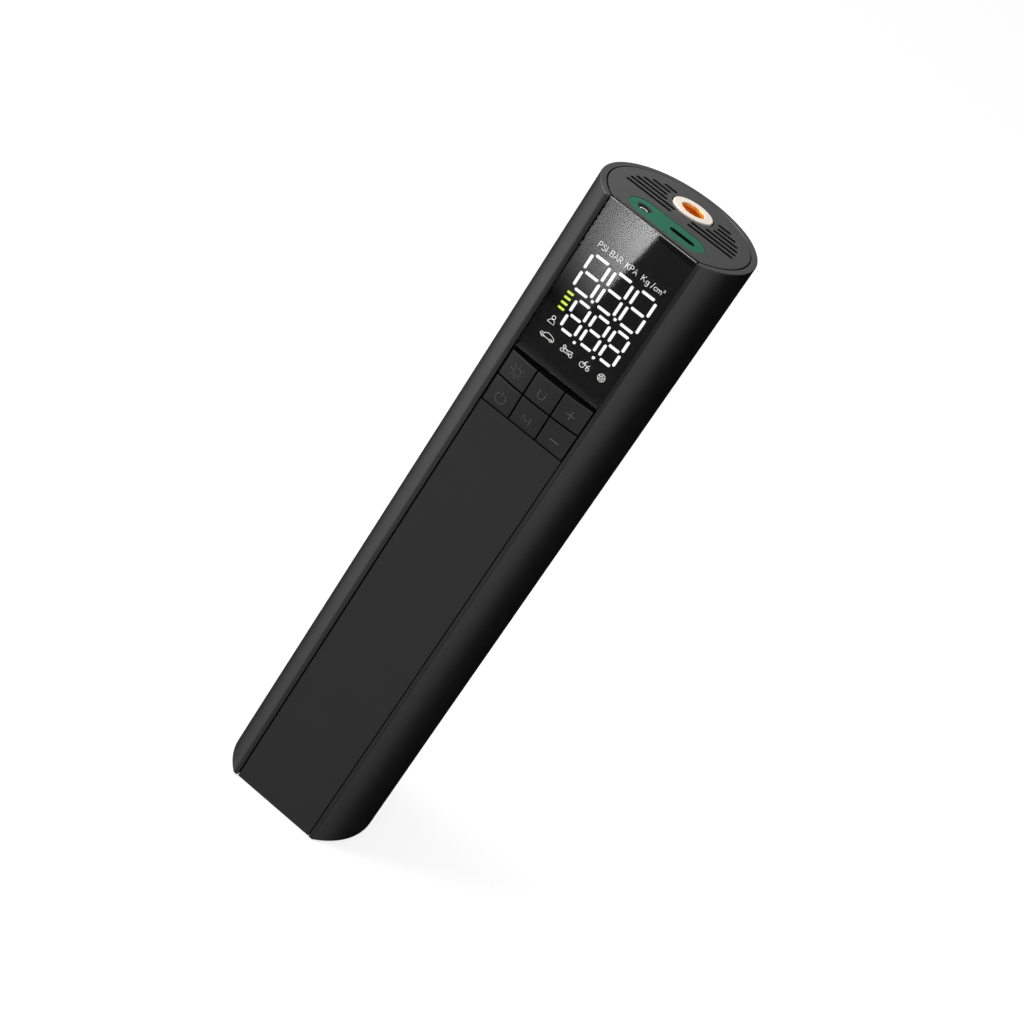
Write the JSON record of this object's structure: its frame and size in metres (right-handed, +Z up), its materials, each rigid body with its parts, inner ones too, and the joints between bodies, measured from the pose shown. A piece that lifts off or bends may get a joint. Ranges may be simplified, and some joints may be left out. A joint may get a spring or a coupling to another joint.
{
  "type": "portable tyre inflator",
  "caption": "Stick-shaped battery tyre inflator with a digit display, a crowned keypad, a vented top with a threaded air outlet, and a geared crank pump inside.",
  "frame": {"origin": "centre of the bounding box's bottom face, on the surface the inflator stands on", "axes": "+Z up towards the air outlet, -Y out of the front with the display and keys, +X to the right seen from the front"},
  "size_m": [0.0512, 0.0506, 0.234],
  "materials": {
    "shell": "satin, finely grained black housing plastic",
    "panel": "plain matte black panel with a fine grain",
    "lens": "smoked glossy display lens",
    "black_frame": "black moulded inner plastic",
    "light_block": "white display block with wells for the strokes of the digits",
    "board": "green circuit board",
    "keys": "soft matte black keys with faint grey symbols",
    "tin": "tinned sheet metal",
    "cap": "dark grey grained cap",
    "plate": "dark green matte plate",
    "lamp": "clear lamp dome",
    "collar": "off-white plastic ring",
    "brass": "machined brass",
    "soft": "black silicone rubber",
    "screws": "plated steel screws",
    "cells": "blue heat-shrink sleeve on steel cells",
    "holders": "tan holder plastic",
    "ribbon": "flat ribbon cable",
    "cast": "die-cast aluminium",
    "can": "zinc-plated steel",
    "magnet": "dark grey ferrite, carbon and laminated steel",
    "copper": "lacquered copper wire",
    "steel": "ground steel pins and shafts",
    "nylon": "off-white engineering plastic",
    "flap": "red-brown rubber flap"
  },
  "bodies": {
    "housing": {"body_shell": "shell", "lower_panel": "panel", "display_lens": "lens", "front_carrier": "black_frame", "display_block": "light_block", "front_board": "board", "tact_switches": "tin", "top_cap": "cap", "port_plate": "plate", "lamp_bezel": "black_frame", "lamp_led": "lamp", "usb_socket": "tin", "port_board": "board", "outlet_collar": "collar", "outlet_insert": "brass", "air_tube": "soft", "bottom_cap": "shell", "bottom_screws": "screws", "battery_cells": "cells", "cell_links": "tin", "lower_holder": "holders", "upper_holder": "holders", "main_board": "board", "board_parts": "black_frame", "board_screws": "screws", "ribbon_cable": "ribbon", "pump_frame": "cast", "frame_screws": "screws", "motor_can": "can", "motor_end_cap": "black_frame", "motor_magnets": "magnet", "motor_screws": "screws", "brushes": "magnet", "crank_bush": "brass", "pump_cylinder": "cast", "valve_plate": "can", "outlet_reed": "can", "cylinder_head": "cast", "head_screws": "screws", "pressure_sensor": "black_frame"},
    "key_lamp": {"lamp_key": "keys"},
    "key_unit": {"unit_key": "keys"},
    "key_plus": {"plus_key": "keys"},
    "key_power": {"power_key": "keys"},
    "key_mode": {"mode_key": "keys"},
    "key_minus": {"minus_key": "keys"},
    "rotor": {"armature": "magnet", "windings": "copper", "commutator": "brass", "motor_shaft": "steel", "pinion": "brass"},
    "crank": {"crank_gear": "nylon", "crank_shaft": "steel", "crank_pin": "steel"},
    "rod": {"con_rod": "cast", "wrist_pin": "steel"},
    "plunger": {"piston": "nylon", "piston_seal": "soft", "intake_flap": "flap"}
  },
  "joints": [
    {"name": "lamp_press", "type": "slide", "parent": "housing", "child": "key_lamp", "axis": [0, 1, 0], "range_m": [0, 0.00035], "stiffness_N_per_m": 1500},
    {"name": "unit_press", "type": "slide", "parent": "housing", "child": "key_unit", "axis": [0, 1, 0], "range_m": [0, 0.00035], "stiffness_N_per_m": 1500},
    {"name": "plus_press", "type": "slide", "parent": "housing", "child": "key_plus", "axis": [0, 1, 0], "range_m": [0, 0.00035], "stiffness_N_per_m": 1500},
    {"name": "power_press", "type": "slide", "parent": "housing", "child": "key_power", "axis": [0, 1, 0], "range_m": [0, 0.00035], "stiffness_N_per_m": 1500},
    {"name": "mode_press", "type": "slide", "parent": "housing", "child": "key_mode", "axis": [0, 1, 0], "range_m": [0, 0.00035], "stiffness_N_per_m": 1500},
    {"name": "minus_press", "type": "slide", "parent": "housing", "child": "key_minus", "axis": [0, 1, 0], "range_m": [0, 0.00035], "stiffness_N_per_m": 1500},
    {"name": "crank_spin", "type": "hinge", "parent": "housing", "child": "crank", "pos_m": [0, -0.00278, 0.1258], "axis": [1, 0, 0], "continuous": true},
    {"name": "rotor_spin", "type": "hinge", "parent": "housing", "child": "rotor", "pos_m": [0, -0.00278, 0.112], "axis": [1, 0, 0], "continuous": true},
    {"name": "rod_swing", "type": "hinge", "parent": "crank", "child": "rod", "pos_m": [0, -0.00278, 0.1218], "axis": [1, 0, 0], "continuous": true},
    {"name": "piston_slide", "type": "slide", "parent": "housing", "child": "plunger", "axis": [0, 0, 1], "range_m": [0, 0.008]}
  ],
  "couplings": [
    {"joint": "rotor_spin", "follows": "crank_spin", "ratio": -3.6},
    {"joint": "rod_swing", "follows": "crank_spin", "ratio": -1}
  ]
}
